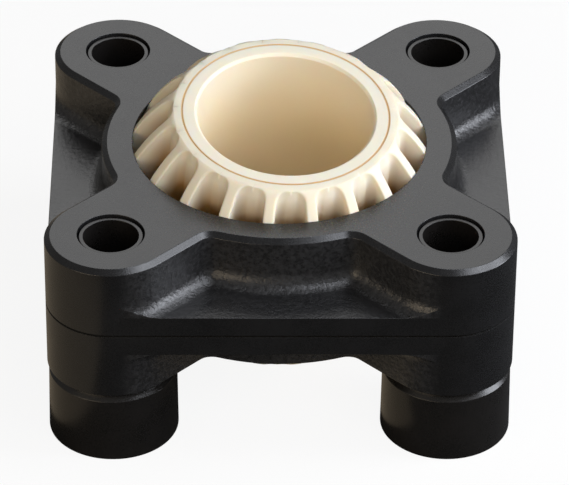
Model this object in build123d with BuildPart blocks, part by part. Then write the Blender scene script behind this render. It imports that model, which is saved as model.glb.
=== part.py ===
from build123d import *
from math import cos, hypot, radians, sin, sqrt, tan
import os

os.makedirs("parts", exist_ok=True)

# Four-bolt flange bearing: a ribbed ball with a plain liner swivels in a split housing on four feet.
# Millimetres, +Z up. The origin lies on the mounting plane under the feet, below the ball's centre.

# Shaft and liner
shaft_bore = 40.0            # inner diameter of the liner
liner_wall = 3.4
liner_clearance = 0.05       # radial, between liner and ball
liner_lip = 0.6              # chamfer at each mouth of the bore

# Ball
ball_diameter = 75.0
face_ring = 2.05             # flat ring of each face, outside the liner
hub_wall = 2.1               # tube round the liner that joins the ribs
rib_count = 19
rib_thickness = 2.5
rib_root_fillet = 2.3        # where a rib grows out of the hub
web_thickness = 8.0          # plain band round the ball's equator
lean_angle = 9.2             # the bore's axis leans this far from upright
lean_heading = -72.2         # towards this direction, seen from above
first_rib_angle = -5.95      # from the lean direction

# Housing, each half
bolt_spacing = 75.0
lobe_radius = 14.8
half_height = 17.3
plate_thickness = 5.0
boss_rim = 7.1               # round the mouth of the seat
waist_fillet = 3.5           # in plan, where a lobe's arm meets the boss
floor_fillet = 3.7           # at the bottom of the pockets
rim_drop = 1.0               # chamfer round the outer face, down the wall
rim_land = 1.3               # and across the face
parting_chamfer = 0.25       # along the split
mouth_chamfer = 0.2          # where the seat opens in the outer face
seat_clearance = 0.08        # radial, between ball and seat
bolt_hole = 15.0             # holds the spacer's neck

# Spacer feet
foot_height = 17.0
foot_inset = 0.15            # the foot's rim stands this far inside the lobe
foot_draft = 0.8             # degrees, the foot narrows upwards
foot_chamfer = 1.2
sleeve_bore = 12.4           # the bolt passes here
neck_clearance = 0.3         # radial, between neck and bolt hole
neck_recess = 0.6            # the neck ends this far below the upper face
neck_chamfer = 0.2

# Sizes and places that follow
ball_radius = ball_diameter / 2
liner_radius = shaft_bore / 2 + liner_wall
ball_bore_radius = liner_radius + liner_clearance
hub_radius = ball_bore_radius + hub_wall
face_radius = ball_bore_radius + face_ring
ball_width = 2 * sqrt(ball_radius**2 - face_radius**2)
seat_radius = ball_radius + seat_clearance
mouth_radius = sqrt(seat_radius**2 - half_height**2)
boss_radius = mouth_radius + boss_rim
split_height = foot_height + half_height
top_height = split_height + half_height
block_side = bolt_spacing + 2 * lobe_radius
foot_radius = lobe_radius - foot_inset
neck_radius = bolt_hole / 2 - neck_clearance
neck_top = top_height - neck_recess
shoulder_height = foot_height - foot_chamfer
shoulder_radius = foot_radius - shoulder_height * tan(radians(foot_draft))

# The ball's own frame: z along the bore, x towards the side it leans to
lean = radians(lean_angle)
heading = radians(lean_heading)
bore_axis = Vector(sin(lean) * cos(heading), sin(lean) * sin(heading), cos(lean))
lean_direction = Vector(cos(lean) * cos(heading), cos(lean) * sin(heading), -sin(lean))
ball_centre = Vector(0, 0, split_height)
ball_plane = Plane(origin=ball_centre, x_dir=lean_direction, z_dir=bore_axis)
ball_section = Plane(origin=ball_centre, x_dir=lean_direction, z_dir=lean_direction.cross(bore_axis))
bore_line = Axis(ball_centre, bore_axis)


# Upper half of the housing, moulded with its parting face down
with BuildPart() as upper_housing:
    # A slab wider than the plate carries the boss and the arms, so the floor fillet runs all round them
    with BuildSketch(Plane.XY.offset(split_height)):
        Rectangle(2 * block_side, 2 * block_side)
    extrude(amount=plate_thickness)
    with BuildSketch(Plane.XY.offset(split_height)) as raised_plan:
        Circle(boss_radius)
        for arm_angle in (45, 135):
            SlotCenterToCenter(bolt_spacing * sqrt(2), 2 * lobe_radius, rotation=arm_angle)
        waists = raised_plan.vertices().filter_by(
            lambda v: abs(hypot(v.X, v.Y) - boss_radius) < 0.01 and min(abs(v.X), abs(v.Y)) > 0.01
        )
        fillet(waists, waist_fillet)
    extrude(amount=half_height)
    floor_height = split_height + plate_thickness
    floor_edges = upper_housing.edges().filter_by_position(Axis.Z, floor_height, floor_height)
    fillet(floor_edges.sort_by_distance((0, 0, floor_height))[:-4], floor_fillet)
    # The surplus round the square outline comes off, lobes and plate corners flush
    with BuildSketch(Plane.XY.offset(split_height)):
        Rectangle(3 * block_side, 3 * block_side)
        RectangleRounded(block_side, block_side, lobe_radius, mode=Mode.SUBTRACT)
    extrude(amount=plate_thickness + floor_fillet, mode=Mode.SUBTRACT)
    outer_face = upper_housing.faces().sort_by(Axis.Z)[-1]
    chamfer(outer_face.edges(), rim_land, length2=rim_drop, reference=outer_face)
    chamfer(upper_housing.faces().sort_by(Axis.Z)[0].edges(), parting_chamfer)
    with Locations(ball_centre):
        Sphere(seat_radius, mode=Mode.SUBTRACT)
    chamfer(upper_housing.faces().sort_by(Axis.Z)[-1].inner_wires()[0].edges(), mouth_chamfer)
    with Locations(Plane.XY.offset(top_height)):
        with GridLocations(bolt_spacing, bolt_spacing, 2, 2):
            Hole(bolt_hole / 2)
upper_housing.part.label = "upper_housing"
export_step(upper_housing.part, "parts/upper_housing.step")

# Lower half: the same moulding turned over
with BuildPart() as lower_housing:
    mirror(upper_housing.part, about=Plane.XY.offset(split_height))
lower_housing.part.label = "lower_housing"
export_step(lower_housing.part, "parts/lower_housing.step")

# Spacers: a drafted foot under each lobe, with a neck that lines the bolt holes
sides = {"front": -1, "rear": 1}
hands = {"left": -1, "right": 1}
for side, side_sign in sides.items():
    for hand, hand_sign in hands.items():
        bolt_x = hand_sign * bolt_spacing / 2
        bolt_y = side_sign * bolt_spacing / 2
        with BuildPart() as spacer:
            with BuildSketch(Plane(origin=(bolt_x, bolt_y, 0), x_dir=(1, 0, 0), z_dir=(0, -1, 0))):
                with BuildLine():
                    Polyline(
                        (sleeve_bore / 2, 0),
                        (foot_radius, 0),
                        (shoulder_radius, shoulder_height),
                        (shoulder_radius - foot_chamfer, foot_height),
                        (neck_radius, foot_height),
                        (neck_radius, neck_top - neck_chamfer),
                        (neck_radius - neck_chamfer, neck_top),
                        (sleeve_bore / 2, neck_top),
                        close=True,
                    )
                make_face()
            revolve(axis=Axis((bolt_x, bolt_y, 0), (0, 0, 1)))
        spacer.part.label = f"spacer_{side}_{hand}"
        export_step(spacer.part, f"parts/spacer_{side}_{hand}.step")

# Ball: a sphere with two flat faces, fluted from both so that ribs stand round the hub
with BuildPart() as ball:
    with BuildSketch(ball_section):
        with BuildLine():
            Polyline(
                (face_radius, ball_width / 2),
                (ball_bore_radius, ball_width / 2),
                (ball_bore_radius, -ball_width / 2),
                (face_radius, -ball_width / 2),
            )
            ThreePointArc((face_radius, -ball_width / 2), (ball_radius, 0), (face_radius, ball_width / 2))
        make_face()
    revolve(axis=bore_line)
    rib_plane = ball_plane.rotated((0, 0, first_rib_angle))
    for end in (1, -1):
        with BuildSketch(rib_plane.offset(end * web_thickness / 2)) as flutes:
            Circle(ball_diameter)
            Circle(hub_radius, mode=Mode.SUBTRACT)
            with PolarLocations(0, rib_count):
                Rectangle(
                    2 * ball_diameter, rib_thickness, align=(Align.MIN, Align.CENTER), mode=Mode.SUBTRACT
                )
            fillet(flutes.vertices().filter_by(lambda v: hypot(v.X, v.Y) < ball_radius), rib_root_fillet)
        extrude(amount=end * ball_width, mode=Mode.SUBTRACT)
ball.part.label = "ball"
export_step(ball.part, "parts/ball.step")

# Liner: a plain bush, flush with the ball's faces
with BuildPart() as liner:
    with BuildSketch(ball_section):
        with BuildLine():
            Polyline(
                (liner_radius, -ball_width / 2),
                (liner_radius, ball_width / 2),
                (shaft_bore / 2 + liner_lip, ball_width / 2),
                (shaft_bore / 2, ball_width / 2 - liner_lip),
                (shaft_bore / 2, -ball_width / 2 + liner_lip),
                (shaft_bore / 2 + liner_lip, -ball_width / 2),
                close=True,
            )
        make_face()
    revolve(axis=bore_line)
liner.part.label = "liner"
export_step(liner.part, "parts/liner.step")
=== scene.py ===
# %% [markdown]
# # A four-bolt flange bearing
# A cream plastic ball with nineteen ribs swivels in a square black housing.
# The housing is two equal mouldings, and four spacer feet hold it off the machine.
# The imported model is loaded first, because every piece below keeps its place and size.

# %% Load the frame
from math import atan2, cos, degrees, exp, hypot, pi, radians, sin, sqrt
import bmesh
import bpy
from mathutils import Matrix, Vector


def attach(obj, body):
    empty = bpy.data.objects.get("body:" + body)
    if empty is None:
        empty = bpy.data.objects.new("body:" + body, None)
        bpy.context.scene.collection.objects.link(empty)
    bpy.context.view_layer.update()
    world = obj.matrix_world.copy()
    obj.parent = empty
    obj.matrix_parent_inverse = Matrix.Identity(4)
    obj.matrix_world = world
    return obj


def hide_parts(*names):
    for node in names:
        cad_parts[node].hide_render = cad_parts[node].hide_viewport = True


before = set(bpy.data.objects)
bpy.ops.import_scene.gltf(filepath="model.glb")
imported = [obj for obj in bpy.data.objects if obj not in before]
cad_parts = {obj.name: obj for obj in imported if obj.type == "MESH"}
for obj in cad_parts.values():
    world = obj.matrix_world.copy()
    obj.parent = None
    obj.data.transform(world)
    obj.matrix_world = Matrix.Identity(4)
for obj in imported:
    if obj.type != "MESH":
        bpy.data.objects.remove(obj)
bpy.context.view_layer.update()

MM = 0.001

# %% [markdown]
# ## The camera
# A long lens from the front, 35 degrees up, was worked out from the four bolt holes.
# With a long lens the lobes keep their size from front to back, as catalogue pictures show them.

# %% Camera
scene = bpy.context.scene
scene.view_settings.view_transform = "Standard"
azimuth, elevation, roll = radians(-0.869), radians(35.108), radians(0.518)
distance = 1005.3 * MM
target = Vector((1.377, 0.0, 22.896)) * MM

back = Vector((sin(azimuth) * cos(elevation), -cos(azimuth) * cos(elevation), sin(elevation)))
right = Vector((cos(azimuth), sin(azimuth), 0.0))
up = back.cross(right)
across, upright = right * cos(roll) + up * sin(roll), -right * sin(roll) + up * cos(roll)
turned = Matrix((across, upright, back)).transposed()

camera_data = bpy.data.cameras.new("camera")
camera_data.sensor_width = 36.0
camera_data.lens = 274.93        # the view is about 132 mm wide at the bearing
camera_data.clip_start = 0.01
camera = bpy.data.objects.new("camera", camera_data)
scene.collection.objects.link(camera)
camera.matrix_world = Matrix.Translation(target + distance * back) @ turned.to_4x4()
scene.camera = camera
print("camera at", [round(v / MM, 1) for v in camera.matrix_world.translation], "mm")

# %% [markdown]
# ## Small helpers
# Paint and plastic colours are picked as sRGB hex values, but a shader adds light, so it needs them linear.
# Nodes are added by one function: it makes a node, sets it up and plugs in what feeds it.

# %% Helpers
def linear(hex_colour):
    """The linear red, green, blue and alpha of an sRGB hex colour."""
    parts = [int(hex_colour[i:i + 2], 16) / 255 for i in (1, 3, 5)]
    return (*[p / 12.92 if p <= 0.04045 else ((p + 0.055) / 1.055) ** 2.4 for p in parts], 1.0)

def add_node(tree, kind, inputs=None, **settings):
    """Adds one node. inputs holds a constant, or another node's output, for each socket."""
    node = tree.nodes.new(kind)
    for name, value in settings.items():
        setattr(node, name, value)
    for socket, value in (inputs or {}).items():
        if isinstance(value, bpy.types.NodeSocket):
            tree.links.new(value, node.inputs[socket])
        else:
            node.inputs[socket].default_value = value
    return node

def new_piece(name, mesh):
    """An object at the origin that shows the mesh."""
    piece = bpy.data.objects.new(name, mesh)
    scene.collection.objects.link(piece)
    return piece

# %% [markdown]
# ## Sizes
# The shapes made here follow the solids, so they repeat a few of their sizes, in millimetres.

# %% Sizes
ball_radius = 37.5
face_radius = 25.5               # edge of the ball's flat face
half_width = sqrt(ball_radius**2 - face_radius**2)
ball_bore = 23.45
hub_radius = 25.55
liner_radius = 23.4
shaft_radius = 20.0
rib_count = 19
half_rib = 1.25
root_fillet = 2.3                # where a rib grows out of the hub
half_web = 4.0                   # plain band round the ball's equator
split = 34.3                     # height of the joint between the housing halves
plate_thickness = 5.0
bolt_spacing = 75.0
lean, heading = radians(9.2), radians(-72.2)
first_rib = radians(-5.95)

ball_centre = Vector((0, 0, split)) * MM
bore_axis = Vector((sin(lean) * cos(heading), sin(lean) * sin(heading), cos(lean)))
lean_direction = Vector((cos(lean) * cos(heading), cos(lean) * sin(heading), -sin(lean)))
ball_turn = Matrix((lean_direction, bore_axis.cross(lean_direction), bore_axis)).transposed()
print("ball leans", round(degrees(lean), 1), "degrees; its faces are", round(2 * half_width, 2), "mm apart")

# %% [markdown]
# ## The housing halves
# Each half is a moulding with a flat rim, four lobes and pockets between them.
# The solid's mesh has the true shape, but its edges are razor sharp, and no moulding has such edges.
# So a copy is merged, and a Bevel modifier rounds every sharp edge, which then catches a thin line of light.
# The plate's outer rim below the pockets is rounder than the rest, and its line of light is wider.

# %% Merge a copy of a solid
weld = 0.002 * MM                # points nearer than this are one

def merged_copy(node_name, piece_name):
    """A copy of a CAD node with its loose triangles joined into one skin."""
    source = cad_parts[node_name].data
    mesh = bpy.data.meshes.new(piece_name)
    mesh.from_pydata([v.co for v in source.vertices], [], [tuple(p.vertices) for p in source.polygons])
    skin = bmesh.new()
    skin.from_mesh(mesh)
    bmesh.ops.remove_doubles(skin, verts=skin.verts, dist=weld)
    for face in skin.faces:
        face.smooth = True
    skin.to_mesh(mesh)
    skin.free()
    return new_piece(piece_name, mesh)

upper_shell = merged_copy("upper_housing", "upper_shell")
lower_shell = merged_copy("lower_housing", "lower_shell")
print("merged", upper_shell.name, "and", lower_shell.name)

# %% Round its edges
def round_edges(piece, radius, rim_radius, sharper_than=25.0):
    """Rounds every sharp edge, and the plate's outer rim beside the pockets a little more."""
    skin = bmesh.new()
    skin.from_mesh(piece.data)
    weight = skin.edges.layers.float.new("bevel_weight_edge")
    for edge in skin.edges:
        if len(edge.link_faces) == 2 and degrees(edge.calc_face_angle(0.0)) > sharper_than:
            from_split = [abs(v.co.z - split * MM) for v in edge.verts]
            on_rim = all(abs(height - plate_thickness * MM) < 0.01 * MM for height in from_split)
            edge[weight] = 1.0 if on_rim else radius / rim_radius
    skin.to_mesh(piece.data)
    skin.free()
    bevel = piece.modifiers.new("edge_radius", "BEVEL")
    bevel.width = rim_radius * MM
    bevel.segments = 2
    bevel.limit_method = "WEIGHT"
    bevel.use_clamp_overlap = False
    bevel.harden_normals = True
    bevel.miter_outer = "MITER_ARC"

for shell in (upper_shell, lower_shell):
    round_edges(shell, radius=0.12, rim_radius=0.36)
    print(shell.name, len(shell.data.polygons), "triangles before its edges are rounded")

# %% [markdown]
# ## Turned shapes
# The liner, the spacers and even the ribbed ball are one slice repeated round an axis.
# A spin would make them too, but a Geometry Nodes tree keeps the count, the axis and the material as inputs.
# It sets copies of the slice round the axis, joins them, and lays the result where the object needs it.

# %% Node tree that repeats a slice round an axis
slices = bpy.data.node_groups.new("slices_round_axis", "GeometryNodeTree")
slices.interface.new_socket("Mesh", in_out="OUTPUT", socket_type="NodeSocketGeometry")
for name, kind in (("Slice", "Geometry"), ("Copies", "Int"), ("First angle", "Float"),
                   ("Lean", "Rotation"), ("Centre", "Vector"), ("Material", "Material")):
    slices.interface.new_socket(name, in_out="INPUT", socket_type="NodeSocket" + kind)
given = add_node(slices, "NodeGroupInput").outputs
number = add_node(slices, "GeometryNodeInputIndex")
step = add_node(slices, "ShaderNodeMath", {0: 2 * pi, 1: given["Copies"]}, operation="DIVIDE")
angle = add_node(slices, "ShaderNodeMath", {
    0: number.outputs[0], 1: step.outputs[0], 2: given["First angle"]}, operation="MULTIPLY_ADD")
turn = add_node(slices, "FunctionNodeAxisAngleToRotation", {"Axis": (0, 0, 1), "Angle": angle.outputs[0]})
points = add_node(slices, "GeometryNodePoints", {"Count": given["Copies"]})
copies = add_node(slices, "GeometryNodeInstanceOnPoints", {
    "Points": points.outputs[0], "Instance": given["Slice"], "Rotation": turn.outputs[0]})
real = add_node(slices, "GeometryNodeRealizeInstances", {"Geometry": copies.outputs[0]})
joined = add_node(slices, "GeometryNodeMergeByDistance", {"Geometry": real.outputs[0], "Distance": weld})
placed = add_node(slices, "GeometryNodeTransform", {
    "Geometry": joined.outputs[0], "Rotation": given["Lean"], "Translation": given["Centre"]})
finished = add_node(slices, "GeometryNodeSetMaterial", {
    "Geometry": placed.outputs[0], "Material": given["Material"]})
add_node(slices, "NodeGroupOutput", {0: finished.outputs[0]})
print("tree", slices.name, "has", len(slices.nodes), "nodes")

# %% Run a tree and keep its mesh
def bake_tree(name, start_mesh, tree, values, sharp_over=60.0):
    """Runs a node tree on a mesh and returns the result as a plain piece."""
    holder = new_piece(name + "_start", start_mesh)
    modifier = holder.modifiers.new("tree", "NODES")
    modifier.node_group = tree
    for item in tree.interface.items_tree:
        if item.item_type == "SOCKET" and item.in_out == "INPUT" and item.name in values:
            modifier[item.identifier] = values[item.name]
    evaluated = holder.evaluated_get(bpy.context.evaluated_depsgraph_get())
    mesh = bpy.data.meshes.new_from_object(evaluated)
    mesh.name = name
    bpy.data.objects.remove(holder)
    skin = bmesh.new()
    skin.from_mesh(mesh)
    bmesh.ops.dissolve_degenerate(skin, dist=0.001 * MM, edges=skin.edges)
    bmesh.ops.recalc_face_normals(skin, faces=skin.faces)
    for face in skin.faces:
        face.smooth = True
    for edge in skin.edges:
        if len(edge.link_faces) == 2 and degrees(edge.calc_face_angle(0.0)) > sharp_over:
            edge.smooth = False
    open_edges = sum(1 for edge in skin.edges if len(edge.link_faces) != 2)
    skin.to_mesh(mesh)
    skin.free()
    print(name, len(mesh.polygons), "faces,", open_edges, "open edges")
    return new_piece(name, mesh)

# %% [markdown]
# ## Black plastic
# The housing and the feet are moulded in black glass-filled nylon.
# Where the mould is smooth, this gives the eye a dark satin skin with a fine, faint grain.
# The pockets come from a spark-eroded part of the mould, so they are paler and more coarsely speckled.
# The real grain is about a tenth of a millimetre, too fine to show here, so it is drawn 0.45 to 1 mm wide.
# Noise in millimetres is used and not a picture, because it needs no seams and suits every wall.

# %% Where the pockets and the split are
def per_metre(size_mm):
    """Noise scale whose features are about this many millimetres wide."""
    return 1000.0 / size_mm

def height_from_split(tree, axes):
    """Distance above or below the joint between the halves."""
    rise = add_node(tree, "ShaderNodeMath", {0: axes.outputs["Z"], 1: ball_centre.z}, operation="SUBTRACT")
    return add_node(tree, "ShaderNodeMath", {0: rise.outputs[0]}, operation="ABSOLUTE").outputs[0]

def pocket_mask(tree, axes, height):
    """1 in the pockets between the lobes and 0 elsewhere, with soft limits in millimetres."""
    side = add_node(tree, "ShaderNodeMath", {0: axes.outputs["X"], 1: axes.outputs["Y"]}, operation="MINIMUM")
    between = add_node(tree, "ShaderNodeMapRange", {
        "Value": side.outputs[0], "From Min": 35.5 * MM, "From Max": 32.0 * MM})
    above = add_node(tree, "ShaderNodeMapRange", {"Value": height, "From Min": 4.9 * MM, "From Max": 5.1 * MM})
    below = add_node(tree, "ShaderNodeMapRange", {"Value": height, "From Min": 16.4 * MM, "From Max": 16.2 * MM})
    level = add_node(tree, "ShaderNodeMath", {0: above.outputs[0], 1: below.outputs[0]}, operation="MULTIPLY")
    mask = add_node(tree, "ShaderNodeMath", {0: between.outputs[0], 1: level.outputs[0]}, operation="MULTIPLY")
    return mask.outputs[0]

# %% Spark-eroded pockets and painted shade in the split
def housing_details(tree, place, colour, gloss, skin, pocket_light):
    """Changes colour, roughness and normal in the pockets, and paints shade into the split."""
    mirrored = add_node(tree, "ShaderNodeVectorMath", {0: place}, operation="ABSOLUTE")
    axes = add_node(tree, "ShaderNodeSeparateXYZ", {0: mirrored.outputs[0]})
    height = height_from_split(tree, axes)
    pocket = pocket_mask(tree, axes, height)
    spark = add_node(tree, "ShaderNodeTexNoise", {
        "Vector": place, "Scale": per_metre(1.0), "Detail": 4.0, "Roughness": 0.62})
    speckle = add_node(tree, "ShaderNodeMapRange", {
        "Value": spark.outputs["Fac"], "From Min": 0.35, "From Max": 0.65, "To Min": 0.55, "To Max": 1.45})
    grey = add_node(tree, "ShaderNodeVectorMath", {
        0: linear(pocket_light)[:3], "Scale": speckle.outputs[0]}, operation="SCALE")
    colour = add_node(tree, "ShaderNodeMix", {"Factor": pocket, "A": colour, "B": grey.outputs[0]},
                      data_type="RGBA").outputs["Result"]
    gloss = add_node(tree, "ShaderNodeMapRange", {"Value": pocket, "To Min": gloss, "To Max": 0.22}).outputs[0]
    skin = add_node(tree, "ShaderNodeBump", {
        "Height": spark.outputs["Fac"], "Strength": pocket, "Distance": 0.22 * MM, "Normal": skin}).outputs[0]
    # The chamfers along the split form a groove, whose shade is painted in as a near-black, dull colour
    outside = add_node(tree, "ShaderNodeMapRange", {
        "Value": height, "From Min": 0.24 * MM, "From Max": 0.30 * MM}).outputs[0]
    # Painted shade: the groove's near-black colour stands in for the shadow inside it.
    colour = add_node(tree, "ShaderNodeMix", {"Factor": outside, "A": linear("#020202"), "B": colour},
                      data_type="RGBA").outputs["Result"]
    gloss = add_node(tree, "ShaderNodeMapRange", {"Value": outside, "To Min": 1.0, "To Max": gloss}).outputs[0]
    return colour, gloss, skin

# %% Moulded black nylon
def black_nylon(name, dark, light, rough, pocket_light=None):
    """Smooth outside; with pocket_light, coarser and paler in the pockets between the lobes."""
    material = bpy.data.materials.new(name)
    material.use_nodes = True
    tree = material.node_tree
    shader = tree.nodes["Principled BSDF"]
    place = add_node(tree, "ShaderNodeTexCoord").outputs["Object"]
    fine = add_node(tree, "ShaderNodeTexNoise", {"Vector": place, "Scale": per_metre(0.45), "Detail": 3.0})
    cloud = add_node(tree, "ShaderNodeTexNoise", {"Vector": place, "Scale": per_metre(8.0), "Detail": 4.0})
    both = add_node(tree, "ShaderNodeMath", {
        0: fine.outputs["Fac"], 1: cloud.outputs["Fac"]}, operation="ADD").outputs[0]
    shade = add_node(tree, "ShaderNodeMapRange", {"Value": both, "From Min": 0.7, "From Max": 1.3})
    colour = add_node(tree, "ShaderNodeMix", {
        "Factor": shade.outputs[0], "A": linear(dark), "B": linear(light)}, data_type="RGBA").outputs["Result"]
    gloss = add_node(tree, "ShaderNodeMapRange", {
        "Value": both, "From Min": 0.7, "From Max": 1.3,
        "To Min": rough - 0.04, "To Max": rough + 0.05}).outputs[0]
    skin = add_node(tree, "ShaderNodeBump", {
        "Height": fine.outputs["Fac"], "Strength": 0.5, "Distance": 0.03 * MM}).outputs[0]
    if pocket_light:
        colour, gloss, skin = housing_details(tree, place, colour, gloss, skin, pocket_light)
    tree.links.new(colour, shader.inputs["Base Color"])
    tree.links.new(gloss, shader.inputs["Roughness"])
    tree.links.new(skin, shader.inputs["Normal"])
    shader.inputs["IOR"].default_value = 1.53
    return material

housing_plastic = black_nylon("moulded_black_nylon_housing", "#121213", "#1b1b1c", 0.27, "#262627")
foot_plastic = black_nylon("moulded_black_nylon_feet", "#100f0e", "#191716", 0.29)
print(housing_plastic.name, foot_plastic.name)

# %% [markdown]
# ## Cream plastic
# The ball is moulded and the liner turned, both in cream acetal.
# It gives the eye a smooth, waxy, slightly translucent skin, so a little light passes below its surface.
# Light that has bounced between the ribs or in the bore comes out warmer.
# A few bounces in the render warm it too little, so warm shade is painted into the colour, deepening inwards
# below the ball's surface.
# The thin joint between ball and liner shows as an amber line of shade, which is painted onto the colour beside
# it as well.
# Acetal has no grain of its own. The light tool marks are finer than 0.1 mm and are drawn 0.6 mm wide.

# %% Painted shade below the surface and beside the joint
painted_shade_start = 36.3                # the tone deepens inwards from this distance to the ball's centre
joint_radius = (ball_bore + liner_radius) / 2

def painted_warm_shade(tree, place, pale, deep, reach):
    """Pale at the ball's surface, with painted warm shade deep inside it and painted amber shade along the
    joint.
    """
    arm = add_node(tree, "ShaderNodeVectorMath", {0: place, 1: ball_centre}, operation="SUBTRACT").outputs[0]
    from_centre = add_node(tree, "ShaderNodeVectorMath", {0: arm}, operation="LENGTH")
    # Painted shade: the colour deepens towards the ball's centre, in the flutes and in the bore.
    depth = add_node(tree, "ShaderNodeMapRange", {
        "Value": from_centre.outputs["Value"], "From Min": painted_shade_start * MM,
        "From Max": painted_shade_start * MM - reach * MM})
    cloud = add_node(tree, "ShaderNodeTexNoise", {"Vector": place, "Scale": per_metre(9.0), "Detail": 3.0})
    mottle = add_node(tree, "ShaderNodeMapRange", {
        "Value": cloud.outputs["Fac"], "To Min": -0.06, "To Max": 0.06})
    tone = add_node(tree, "ShaderNodeMath", {
        0: depth.outputs[0], 1: mottle.outputs[0]}, operation="ADD", use_clamp=True)
    body = add_node(tree, "ShaderNodeMix", {
        "Factor": tone.outputs[0], "A": linear(pale), "B": linear(deep)}, data_type="RGBA")
    # Painted shade: an amber line on both sides of the joint between ball and liner.
    sideways = add_node(tree, "ShaderNodeVectorMath", {0: arm, 1: bore_axis}, operation="CROSS_PRODUCT")
    radius = add_node(tree, "ShaderNodeVectorMath", {0: sideways.outputs[0]}, operation="LENGTH")
    beside = add_node(tree, "ShaderNodeMath", {
        0: radius.outputs["Value"], 1: joint_radius * MM}, operation="SUBTRACT")
    apart = add_node(tree, "ShaderNodeMath", {0: beside.outputs[0]}, operation="ABSOLUTE")
    joint = add_node(tree, "ShaderNodeMapRange", {
        "Value": apart.outputs[0], "From Min": 0.36 * MM, "From Max": 0.14 * MM})
    amber = add_node(tree, "ShaderNodeMix", {
        "Factor": joint.outputs[0], "A": body.outputs["Result"], "B": linear("#e2b67e")}, data_type="RGBA")
    return amber.outputs["Result"]

# %% Cream acetal
def cream_acetal(name, pale, deep, reach, rough):
    material = bpy.data.materials.new(name)
    material.use_nodes = True
    tree = material.node_tree
    shader = tree.nodes["Principled BSDF"]
    place = add_node(tree, "ShaderNodeTexCoord").outputs["Object"]
    grain = add_node(tree, "ShaderNodeTexNoise", {"Vector": place, "Scale": per_metre(0.6), "Detail": 2.0})
    bump = add_node(tree, "ShaderNodeBump", {
        "Height": grain.outputs["Fac"], "Strength": 0.12, "Distance": 0.03 * MM})
    tree.links.new(painted_warm_shade(tree, place, pale, deep, reach), shader.inputs["Base Color"])
    tree.links.new(bump.outputs[0], shader.inputs["Normal"])
    for socket, value in (("Roughness", rough), ("IOR", 1.48), ("Specular IOR Level", 0.25),
                          ("Subsurface Weight", 0.45), ("Subsurface Radius", (1.0, 0.62, 0.34)),
                          ("Subsurface Scale", 2.6 * MM)):
        shader.inputs[socket].default_value = value
    return material

# The second colour of each is the painted shade that the colour deepens to inside.
ball_plastic = cream_acetal("moulded_cream_acetal_ball", "#f2e8d3", "#a97f4a", 4.8, 0.42)
liner_plastic = cream_acetal("turned_cream_acetal_liner", "#f4ecda", "#f2dfba", 15.0, 0.38)
print(ball_plastic.name, liner_plastic.name)

# %% [markdown]
# ## The ribbed ball
# One slice holds one rib and half a flute on each side of it, and nineteen slices close the ring.
# The slice is drawn in the ball's own frame: z runs along the bore, and the rib stands along x.
# Its plan is a path from the rib's tip along the wall, round the root fillet, and along the hub.
# Every point of that path is lifted to the sphere, and a small radius is put where the wall meets it.
# Cutting flutes out of a sphere would give the same form, but not these soft edges.

# %% Plan of half a flute
sector = pi / rib_count                              # half the slice's angle
root_x = sqrt((hub_radius + root_fillet) ** 2 - (half_rib + root_fillet) ** 2)
root_angle = atan2(half_rib + root_fillet, root_x)
tip_x = sqrt(ball_radius**2 - half_web**2 - half_rib**2)
wall_steps, root_steps, hub_steps = 10, 8, 3

def flute_plan():
    """Points (x, y) with the direction into the plastic, from the rib's tip to the middle of the flute."""
    path = []
    for i in range(wall_steps + 1):
        path.append(((tip_x + (root_x - tip_x) * i / wall_steps, half_rib), (0.0, -1.0)))
    for i in range(1, root_steps + 1):
        a = -pi / 2 - (pi / 2 - root_angle) * i / root_steps
        centre_y = half_rib + root_fillet
        path.append(((root_x + root_fillet * cos(a), centre_y + root_fillet * sin(a)), (cos(a), sin(a))))
    for i in range(1, hub_steps + 1):
        a = root_angle + (sector - root_angle) * i / hub_steps
        path.append(((hub_radius * cos(a), hub_radius * sin(a)), (-cos(a), -sin(a))))
    return path

plan = flute_plan()
print("flute plan:", len(plan), "points; the root fillet ends", round(degrees(root_angle), 2),
      "degrees from the rib")

# %% [markdown]
# The wall over each plan point is a column of points from the web up to the ball's skin.
# The hub and the root fillet swell outwards below the face, as the real ball's do, so a flute ends softly.
# The flat face also meets the sphere softly, over 0.8 mm, which shows as a band of changing light.

# %% Columns up the wall
def lifted(radius, blend=0.8):
    """Height of the ball's skin above the equator, with a soft edge where the flat face meets the sphere."""
    sphere = sqrt(ball_radius**2 - radius**2)
    overlap = max(blend - abs(half_width - sphere), 0.0) / blend
    return min(half_width, sphere) - overlap**2 * blend / 4

def wall_column(number, edge_radius=0.45, fade_points=8, swell=1.1, swell_depth=2.2):
    """The wall over one plan point, then the small radius at its top and a point on the skin."""
    (x, y), (nx, ny) = plan[number]
    # The radius starts after the rib's tip and fades out along the root fillet and the hub
    e = edge_radius * min(1.0, number, (len(plan) - 1 - number) / fade_points)
    top = lifted(hypot(x, y))
    lower = top - e - half_web
    share = min(max(number - wall_steps, 0) / root_steps, 1.0)
    column = []
    for k in (0.0, 0.25, 0.45, 0.62, 0.74, 0.83, 0.9, 0.95, 1.0):
        out = share * swell * (1 - exp(-lower * (1 - k) / swell_depth))
        column.append((x - nx * out, y - ny * out, half_web + lower * k))
    for t in (22.5, 45, 67.5, 90):
        inward = e * (1 - cos(radians(t)))
        px, py = x + nx * inward, y + ny * inward
        column.append((px, py, lifted(hypot(px, py)) - e * (1 - sin(radians(t)))))
    px, py = x + nx * e * 1.4, y + ny * e * 1.4
    column.append((px, py, lifted(hypot(px, py))))
    return column

walls = [wall_column(number) for number in range(len(plan))]
print(len(walls), "columns of", len(walls[0]), "points")

# %% Rows of the crest, the face and the web
tops = len(plan) - hub_steps                         # plan points that lie on the rib or its root

def arc(x, y, z, to_angle, steps):
    """Points at one height from (x, y) round to an angle."""
    r, a = hypot(x, y), atan2(y, x)
    return [(r * cos(a + (to_angle - a) * k / steps), r * sin(a + (to_angle - a) * k / steps), z)
            for k in range(steps + 1)]

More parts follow.
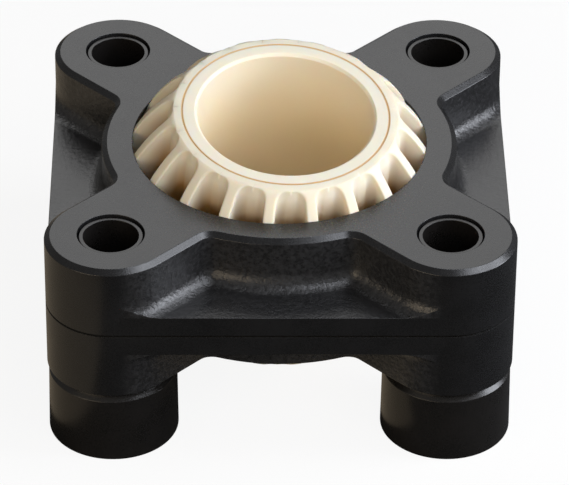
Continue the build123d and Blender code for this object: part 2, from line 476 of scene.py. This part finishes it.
def crest_row(x, y, z, across=6):
    """Points at one height from one side of the rib to the other."""
    r, a = hypot(x, y), atan2(y, x)
    angles = [a * (2 * k / across - 1) for k in range(across + 1)]
    return [(r * cos(angle), r * sin(angle), z) for angle in angles]

def flipped(rows):
    """The same rows on the other side of the rib."""
    return [[(x, -y, z) for x, y, z in row] for row in rows]

def ring(outer, radius, z):
    """The directions of outer, at another radius and height."""
    return [(radius * cos(atan2(y, x)), radius * sin(atan2(y, x)), z) for x, y, _ in outer]

crest = [crest_row(*column[-1]) for column in walls[:tops]]
web = [arc(*column[0][:2], half_web, sector, 3) for column in walls[:tops]]
print(len(crest), "rows on the crest and", len(web), "on the web")

# %% Slice with one rib
def rib_slice(edge_break=0.12):
    verts, faces = [], []
    def strip(rows):
        """Joins rows of points of equal length into faces."""
        start = len(verts)
        for row in rows:
            verts.extend(row)
        n = len(rows[0])
        for r in range(len(rows) - 1):
            for c in range(n - 1):
                a = start + r * n + c
                faces.append((a, a + 1, a + n + 1, a + n))
    strip(walls)
    strip(flipped(walls))
    strip(crest)
    # The flat face, from the crest and the root fillets in to the bore, with its mouth broken
    brows = [column[-1] for column in walls[tops:]]
    outer = flipped([brows[::-1]])[0] + crest[-1] + brows
    mouth = ((2 * edge_break, 0), (edge_break, 0), (0, edge_break), (0, 2 * edge_break))
    strip([outer] + [ring(outer, ball_bore + out, half_width - down) for out, down in mouth]
          + [ring(outer, ball_bore, 0.0)])
    # The web's flat floor in each flute, and the band round the equator
    strip(web)
    strip(flipped(web))
    edge = flipped([web[0][:0:-1]])[0] + crest[0] + web[0][1:]
    strip([ring(edge, sqrt(ball_radius**2 - z**2), z) for z in (half_web, half_web / 2, 0.0)])
    # The lower half is the same, turned over
    count = len(verts)
    verts.extend([(x, y, -z) for x, y, z in verts])
    faces.extend([tuple(count + i for i in reversed(face)) for face in faces])
    mesh = bpy.data.meshes.new("rib_slice")
    mesh.from_pydata([(x * MM, y * MM, z * MM) for x, y, z in verts], [], faces)
    return mesh

ribbed_ball = bake_tree("ribbed_ball", rib_slice(), slices, {
    "Copies": rib_count, "First angle": first_rib, "Lean": ball_turn.to_euler(),
    "Centre": ball_centre, "Material": ball_plastic})

# %% [markdown]
# ## Liner and spacers
# Both are turned shapes, so one thin slice of their outline goes through the same tree.
# Their corners are drawn with a small radius, because a broken edge is what shows as a fine line of light.

# %% Outlines with rounded corners
def rounded_outline(corners, radii, steps=3):
    """A closed outline (radius, height) with each corner rounded."""
    outline = []
    n = len(corners)
    for i, (corner, radius) in enumerate(zip(corners, radii)):
        p = Vector(corner)
        before = (Vector(corners[i - 1]) - p).normalized()
        after = (Vector(corners[(i + 1) % n]) - p).normalized()
        turn = before.angle(after)
        reach = radius / max(sin(turn / 2) / cos(turn / 2), 0.01) if cos(turn / 2) > 1e-6 else 0.0
        if radius == 0 or reach == 0:
            outline.append(tuple(p))
            continue
        a, b = p + before * reach, p + after * reach
        outline.append(tuple(a + before * radius * 0.5))
        for k in range(steps + 1):
            t = k / steps
            outline.append(tuple(a.lerp(p, t).lerp(p.lerp(b, t), t)))
        outline.append(tuple(b + after * radius * 0.5))
    return outline

def outline_slice(name, outline, copies):
    """A strip between two copies of the outline, one slice apart."""
    half = pi / copies
    loops = [[(r * cos(a) * MM, r * sin(a) * MM, z * MM) for r, z in outline] for a in (-half, half)]
    n = len(outline)
    mesh = bpy.data.meshes.new(name)
    mesh.from_pydata(loops[0] + loops[1], [], [(i, (i + 1) % n, n + (i + 1) % n, n + i) for i in range(n)])
    return mesh

# %% Liner
liner_slices = 128
lip = 0.6                        # chamfer at each mouth of the bore
liner_outline = rounded_outline(
    [(liner_radius, -half_width), (liner_radius, half_width),
     (shaft_radius + lip, half_width), (shaft_radius, half_width - lip),
     (shaft_radius, -half_width + lip), (shaft_radius + lip, -half_width)],
    [0.12, 0.12, 0.25, 0.25, 0.25, 0.25])
plain_liner = bake_tree("plain_liner", outline_slice("liner_slice", liner_outline, liner_slices), slices, {
    "Copies": liner_slices, "First angle": 0.0, "Lean": ball_turn.to_euler(), "Centre": ball_centre,
    "Material": liner_plastic})

# %% One spacer
spacer_slices = 96
foot_height, foot_radius, sleeve_radius, neck_radius, neck_top = 17.0, 14.65, 6.2, 7.2, 51.0
foot_draft = radians(0.8)
shoulder, neck_break = 1.2, 0.2                      # chamfers of the foot and of the neck
shoulder_radius = foot_radius - (foot_height - shoulder) * sin(foot_draft) / cos(foot_draft)
spacer_outline = rounded_outline(
    [(sleeve_radius, 0), (foot_radius, 0), (shoulder_radius, foot_height - shoulder),
     (shoulder_radius - shoulder, foot_height), (neck_radius, foot_height),
     (neck_radius, neck_top - neck_break), (neck_radius - neck_break, neck_top), (sleeve_radius, neck_top)],
    [0.12, 0.15, 0.2, 0.2, 0.0, 0.08, 0.08, 0.1])
spacer = bake_tree("spacer", outline_slice("spacer_slice", spacer_outline, spacer_slices), slices, {
    "Copies": spacer_slices, "First angle": 0.0, "Lean": (0.0, 0.0, 0.0), "Centre": (0.0, 0.0, 0.0),
    "Material": foot_plastic})

# %% [markdown]
# The four spacers are equal and stand on the corners of a square.
# A second small tree sets one at each corner of a grid of two by two points.

# %% Node tree that sets a piece at the four bolts
at_bolts = bpy.data.node_groups.new("piece_at_each_bolt", "GeometryNodeTree")
at_bolts.interface.new_socket("Mesh", in_out="OUTPUT", socket_type="NodeSocketGeometry")
for name, kind in (("Piece", "Geometry"), ("Bolt spacing", "Float"), ("Material", "Material")):
    at_bolts.interface.new_socket(name, in_out="INPUT", socket_type="NodeSocket" + kind)
given = add_node(at_bolts, "NodeGroupInput").outputs
square = add_node(at_bolts, "GeometryNodeMeshGrid", {
    "Size X": given["Bolt spacing"], "Size Y": given["Bolt spacing"], "Vertices X": 2, "Vertices Y": 2})
copies = add_node(at_bolts, "GeometryNodeInstanceOnPoints", {
    "Points": square.outputs[0], "Instance": given["Piece"]})
real = add_node(at_bolts, "GeometryNodeRealizeInstances", {"Geometry": copies.outputs[0]})
finished = add_node(at_bolts, "GeometryNodeSetMaterial", {
    "Geometry": real.outputs[0], "Material": given["Material"]})
add_node(at_bolts, "NodeGroupOutput", {0: finished.outputs[0]})

spacer_feet = bake_tree("spacer_feet", spacer.data, at_bolts, {
    "Bolt spacing": bolt_spacing * MM, "Material": foot_plastic})
bpy.data.objects.remove(spacer)

# %% [markdown]
# ## Finish on the housing
# Both halves come from one mould, so they share one material.

# %% Housing finish
for shell in (upper_shell, lower_shell):
    shell.data.materials.append(housing_plastic)
    print(shell.name, "is finished in", shell.data.materials[0].name)

# %% [markdown]
# ## Floor and background
# The floor is white paper, matt, which gives the eye a clean ground with a soft shadow.
# It is white only for the camera and grey for the light, so it doesn't brighten the object from below.
# Nine tenths of that white glow by themselves, and the last tenth still takes the shadow.
# The background is white for the camera too. The object has no metal or glass, and its black plastic would
# turn grey in a white room, so gloss sees the background at a fifth of its strength.

# %% Floor
floor_mesh = bpy.data.meshes.new("floor")
half_floor = 1.5                 # metres
floor_mesh.from_pydata([(x * half_floor, y * half_floor, 0) for x, y in ((-1, -1), (1, -1), (1, 1), (-1, 1))],
                       [], [(0, 1, 2, 3)])
floor = new_piece("floor", floor_mesh)
floor_paper = bpy.data.materials.new("pale_paper_floor")
floor_paper.use_nodes = True
tree = floor_paper.node_tree
paper = tree.nodes["Principled BSDF"]
for_camera = add_node(tree, "ShaderNodeLightPath").outputs["Is Camera Ray"]
tint = add_node(tree, "ShaderNodeMix", {
    "Factor": for_camera, "A": linear("#464645"), "B": linear("#f6f6f4")}, data_type="RGBA")
tree.links.new(tint.outputs["Result"], paper.inputs["Base Color"])
paper.inputs["Roughness"].default_value = 0.9
paper.inputs["Specular IOR Level"].default_value = 0.1
glow = add_node(tree, "ShaderNodeEmission", {"Color": (1, 1, 1, 1), "Strength": 1.0})
share = add_node(tree, "ShaderNodeMath", {0: for_camera, 1: 0.9}, operation="MULTIPLY")
mixed = add_node(tree, "ShaderNodeMixShader", {0: share.outputs[0], 1: paper.outputs[0], 2: glow.outputs[0]})
tree.links.new(mixed.outputs[0], tree.nodes["Material Output"].inputs["Surface"])
floor_mesh.materials.append(floor_paper)
print("floor", 2 * half_floor, "m wide, in", floor_paper.name)

# %% World
world = bpy.data.worlds.new("studio")
scene.world = world
world.use_nodes = True
tree = world.node_tree
rays = add_node(tree, "ShaderNodeLightPath").outputs
direct = add_node(tree, "ShaderNodeMath", {
    0: rays["Is Camera Ray"], 1: rays["Is Transmission Ray"]}, operation="MAXIMUM")
in_gloss = add_node(tree, "ShaderNodeMath", {0: rays["Is Glossy Ray"], 1: 0.2}, operation="MULTIPLY")
either = add_node(tree, "ShaderNodeMath", {0: direct.outputs[0], 1: in_gloss.outputs[0]}, operation="MAXIMUM")
strength = add_node(tree, "ShaderNodeMath", {0: either.outputs[0], 1: 0.05}, operation="MAXIMUM")
background = tree.nodes["Background"]
background.inputs["Color"].default_value = (1, 1, 1, 1)
tree.links.new(strength.outputs[0], background.inputs["Strength"])
print("world", world.name, "has", len(tree.nodes), "nodes")

# %% [markdown]
# ## Light
# Black plastic shows mostly what it mirrors, and cream plastic mostly its own colour.
# A lamp bright enough for the gleams on the black chamfers and fillets would bleach the cream.
# So a tall lamp on the right and a warm one on the left light everything, the gleams show only in the gloss,
# and the fills give only colour.
# Two faint cards lie on the floor and stand for the light that a white table sends back up.
# No lamp shows itself to the camera.

# %% Lamps
def panel(name, place, width, height, radiance, tint, towards=ball_centre, lights="all"):
    """A soft lamp whose surface looks as bright as radiance. It lights all, only gloss or only colour."""
    data = bpy.data.lights.new(name, "AREA")
    data.shape = "RECTANGLE"
    data.size, data.size_y = width, height
    data.energy = radiance * pi * width * height
    data.color = linear(tint)[:3]
    lamp = bpy.data.objects.new(name, data)
    scene.collection.objects.link(lamp)
    lamp.location = place
    lamp.rotation_euler = (Vector(place) - Vector(towards)).to_track_quat("Z", "Y").to_euler()
    lamp.visible_camera = False
    lamp.visible_glossy = lights != "colour"
    lamp.visible_diffuse = lights != "gloss"
    print(name, round(data.energy, 1), "W")

neutral, cool, warm = "#ffffff", "#f2f6ff", "#ffe9c8"
panel("panel_right", (0.511, -0.036, 0.434), 0.27, 0.72, 5.15, cool)
panel("panel_behind", (0.0, 1.1, 0.8), 1.6, 0.8, 1.45, neutral, lights="gloss")
panel("gleam_right_front", (0.254, -0.159, 0.554), 0.19, 0.24, 5.0, cool, lights="gloss")
panel("gleam_low_right", (0.578, -0.030, 0.329), 0.30, 0.28, 5.8, cool, lights="gloss")
panel("gleam_overhead", (0.110, 0.200, 0.694), 0.26, 0.20, 5.2, cool, lights="gloss")
panel("fill_right", (0.68, -0.25, 0.37), 0.8, 0.6, 2.55, cool, lights="colour")
panel("fill_over_camera", (0.35, -1.15, 0.85), 1.4, 1.0, 2.12, neutral, lights="colour")
panel("panel_left", (-0.75, -0.85, 0.40), 0.8, 0.5, 2.9, warm)
panel("card_left", (-0.247, 0.06, 0.002), 0.385, 0.36, 0.28, warm, towards=(-0.247, 0.06, 1.0))
panel("card_between_feet", (0.011, 0.0, 0.002), 0.022, 0.11, 0.28, warm, towards=(0.011, 0.0, 1.0))

# %% [markdown]
# ## Hand the pieces to the frame
# Each piece is hung on the body that carries it, and the solids that it stands for are hidden.

# %% Bodies and solids
corners = [f"spacer_{side}_{hand}" for side in ("front", "rear") for hand in ("left", "right")]
for piece, body, slot, nodes in ((upper_shell, "housing", "housing", ["upper_housing"]),
                                 (lower_shell, "housing", "housing", ["lower_housing"]),
                                 (spacer_feet, "housing", "spacer", corners),
                                 (ribbed_ball, "ball", "ball", ["ball"]),
                                 (plain_liner, "liner", "liner", ["liner"])):
    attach(piece, body)
    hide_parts(*nodes)
